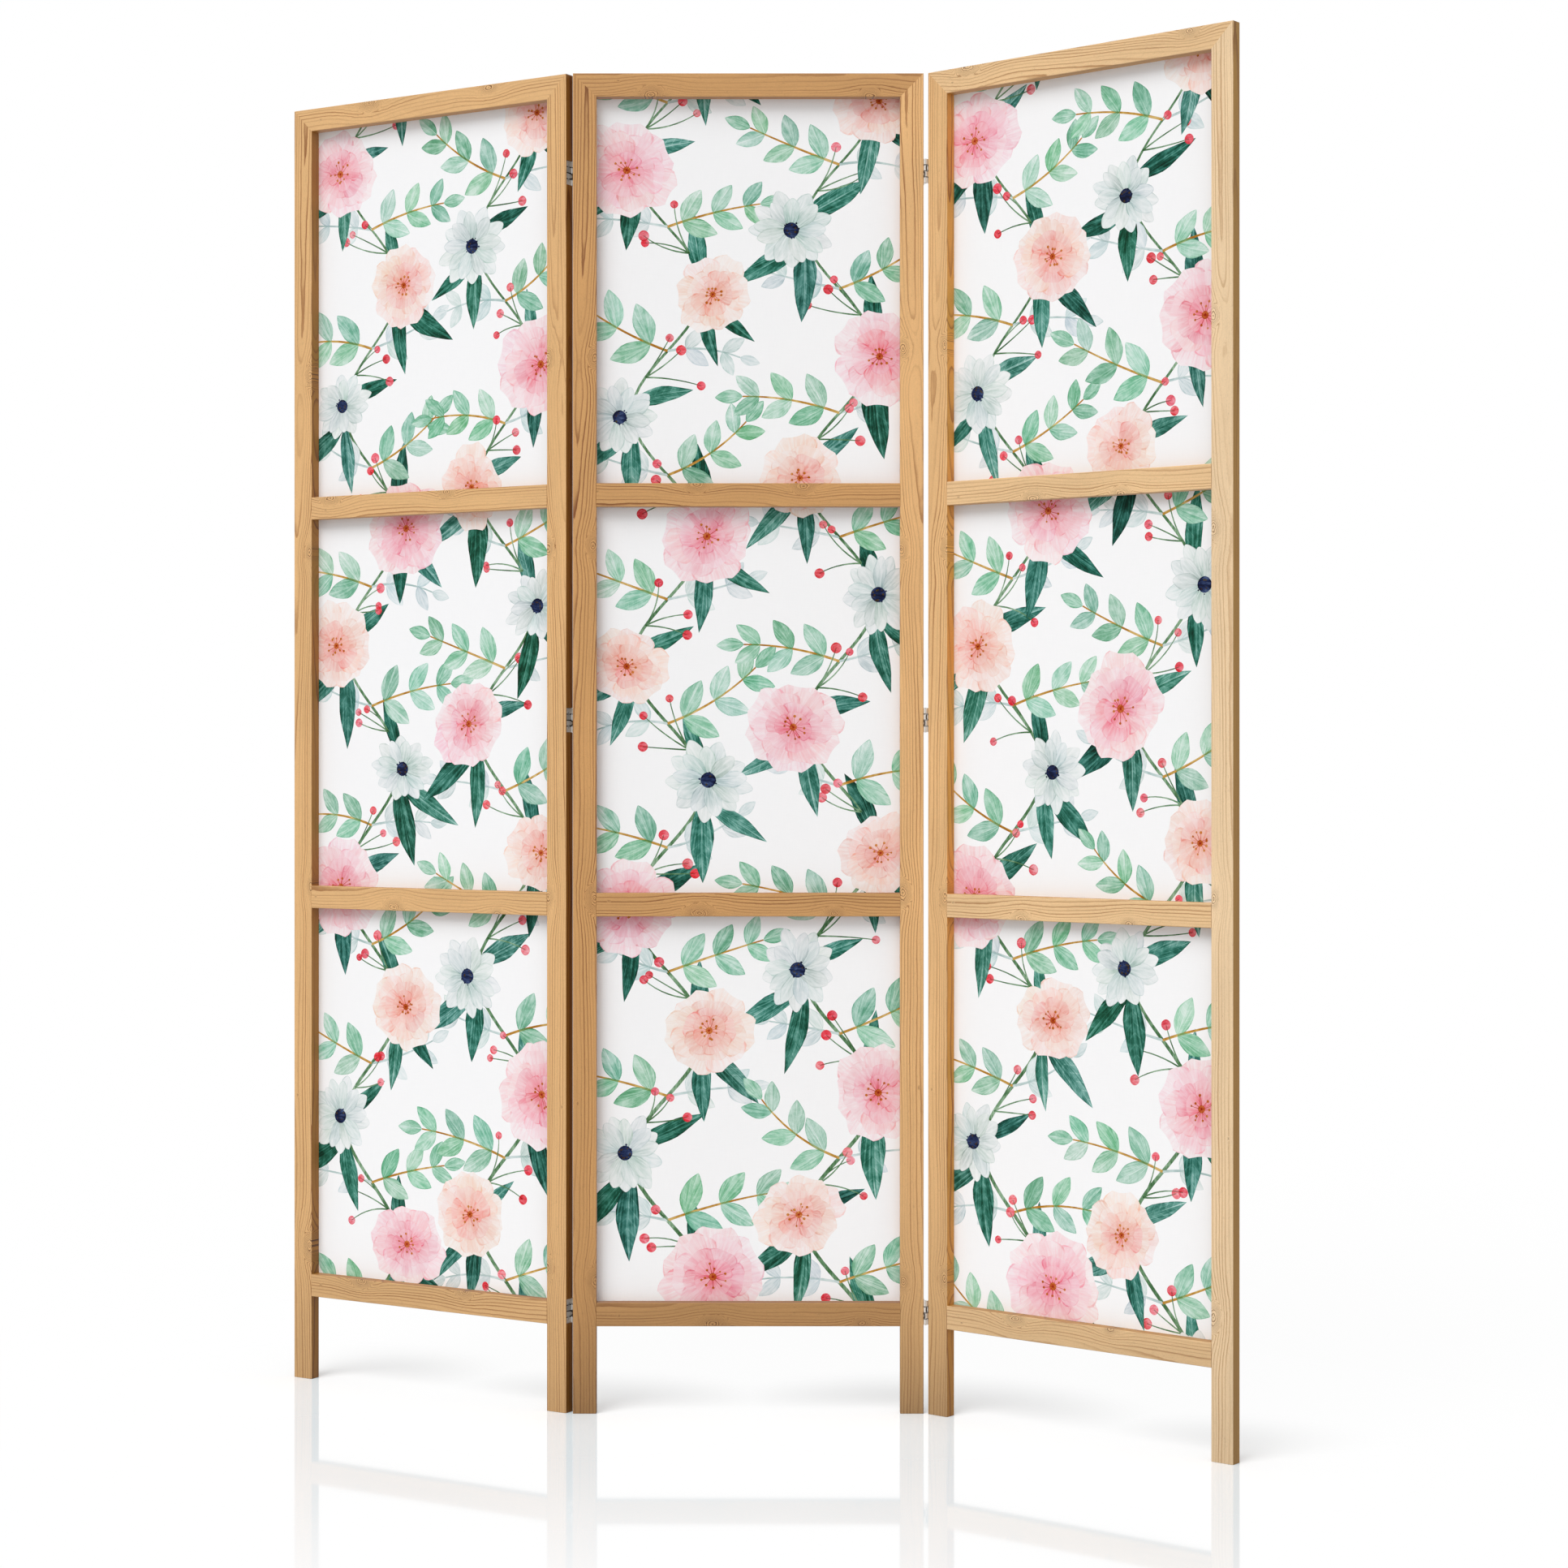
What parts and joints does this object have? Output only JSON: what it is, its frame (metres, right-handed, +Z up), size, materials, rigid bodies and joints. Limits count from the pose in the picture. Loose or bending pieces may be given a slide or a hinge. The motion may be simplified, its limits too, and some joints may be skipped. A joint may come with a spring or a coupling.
{
  "type": "folding screen",
  "caption": "Free-standing zig-zag folding room divider: wooden slat frames with printed fabric stretched across the back, joined edge to edge by small butt hinges.",
  "frame": {"origin": "on the floor, in the middle of the box around the standing screen", "axes": "+X to the right seen from the front, +Y from front to back, +Z up; the centre panel is parallel to X"},
  "size_m": [1.2096, 0.5324, 1.72],
  "materials": {
    "pine_frame": "planed pine, clear satin oil",
    "printed_canvas": "matt woven canvas with a printed floral pattern on the front",
    "hardwood_spline": "plain sawn beech",
    "hinge_steel": "nickel-plated, satin",
    "pin_steel": "bright drawn wire",
    "staple_steel": "zinc-plated wire"
  },
  "bodies": {
    "left_panel": {"left_hinge_bottom_outer_leaf": "hinge_steel", "left_hinge_middle_outer_leaf": "hinge_steel", "left_hinge_top_outer_leaf": "hinge_steel", "left_panel_bottom_rail": "pine_frame", "left_panel_canvas": "printed_canvas", "left_panel_left_stile": "pine_frame", "left_panel_lower_rail": "pine_frame", "left_panel_mitre_splines": "hardwood_spline", "left_panel_right_stile": "pine_frame", "left_panel_staples": "staple_steel", "left_panel_top_rail": "pine_frame", "left_panel_upper_rail": "pine_frame"},
    "centre_panel": {"centre_panel_bottom_rail": "pine_frame", "centre_panel_canvas": "printed_canvas", "centre_panel_left_stile": "pine_frame", "centre_panel_lower_rail": "pine_frame", "centre_panel_mitre_splines": "hardwood_spline", "centre_panel_right_stile": "pine_frame", "centre_panel_staples": "staple_steel", "centre_panel_top_rail": "pine_frame", "centre_panel_upper_rail": "pine_frame", "left_hinge_bottom_inner_leaf": "hinge_steel", "left_hinge_bottom_pin": "pin_steel", "left_hinge_middle_inner_leaf": "hinge_steel", "left_hinge_middle_pin": "pin_steel", "left_hinge_top_inner_leaf": "hinge_steel", "left_hinge_top_pin": "pin_steel", "right_hinge_bottom_inner_leaf": "hinge_steel", "right_hinge_bottom_pin": "pin_steel", "right_hinge_middle_inner_leaf": "hinge_steel", "right_hinge_middle_pin": "pin_steel", "right_hinge_top_inner_leaf": "hinge_steel", "right_hinge_top_pin": "pin_steel"},
    "right_panel": {"right_hinge_bottom_outer_leaf": "hinge_steel", "right_hinge_middle_outer_leaf": "hinge_steel", "right_hinge_top_outer_leaf": "hinge_steel", "right_panel_bottom_rail": "pine_frame", "right_panel_canvas": "printed_canvas", "right_panel_left_stile": "pine_frame", "right_panel_lower_rail": "pine_frame", "right_panel_mitre_splines": "hardwood_spline", "right_panel_right_stile": "pine_frame", "right_panel_staples": "staple_steel", "right_panel_top_rail": "pine_frame", "right_panel_upper_rail": "pine_frame"}
  },
  "joints": [
    {"name": "left_panel_fold", "type": "hinge", "parent": "centre_panel", "child": "left_panel", "pos_m": [-0.21032, 0.03583, 0], "axis": [0, 0, -1], "range_deg": [-31, 149]},
    {"name": "right_panel_fold", "type": "hinge", "parent": "centre_panel", "child": "right_panel", "pos_m": [0.24213, 0.01623, 0], "axis": [0, 0, -1], "range_deg": [-39, 141]}
  ]
}
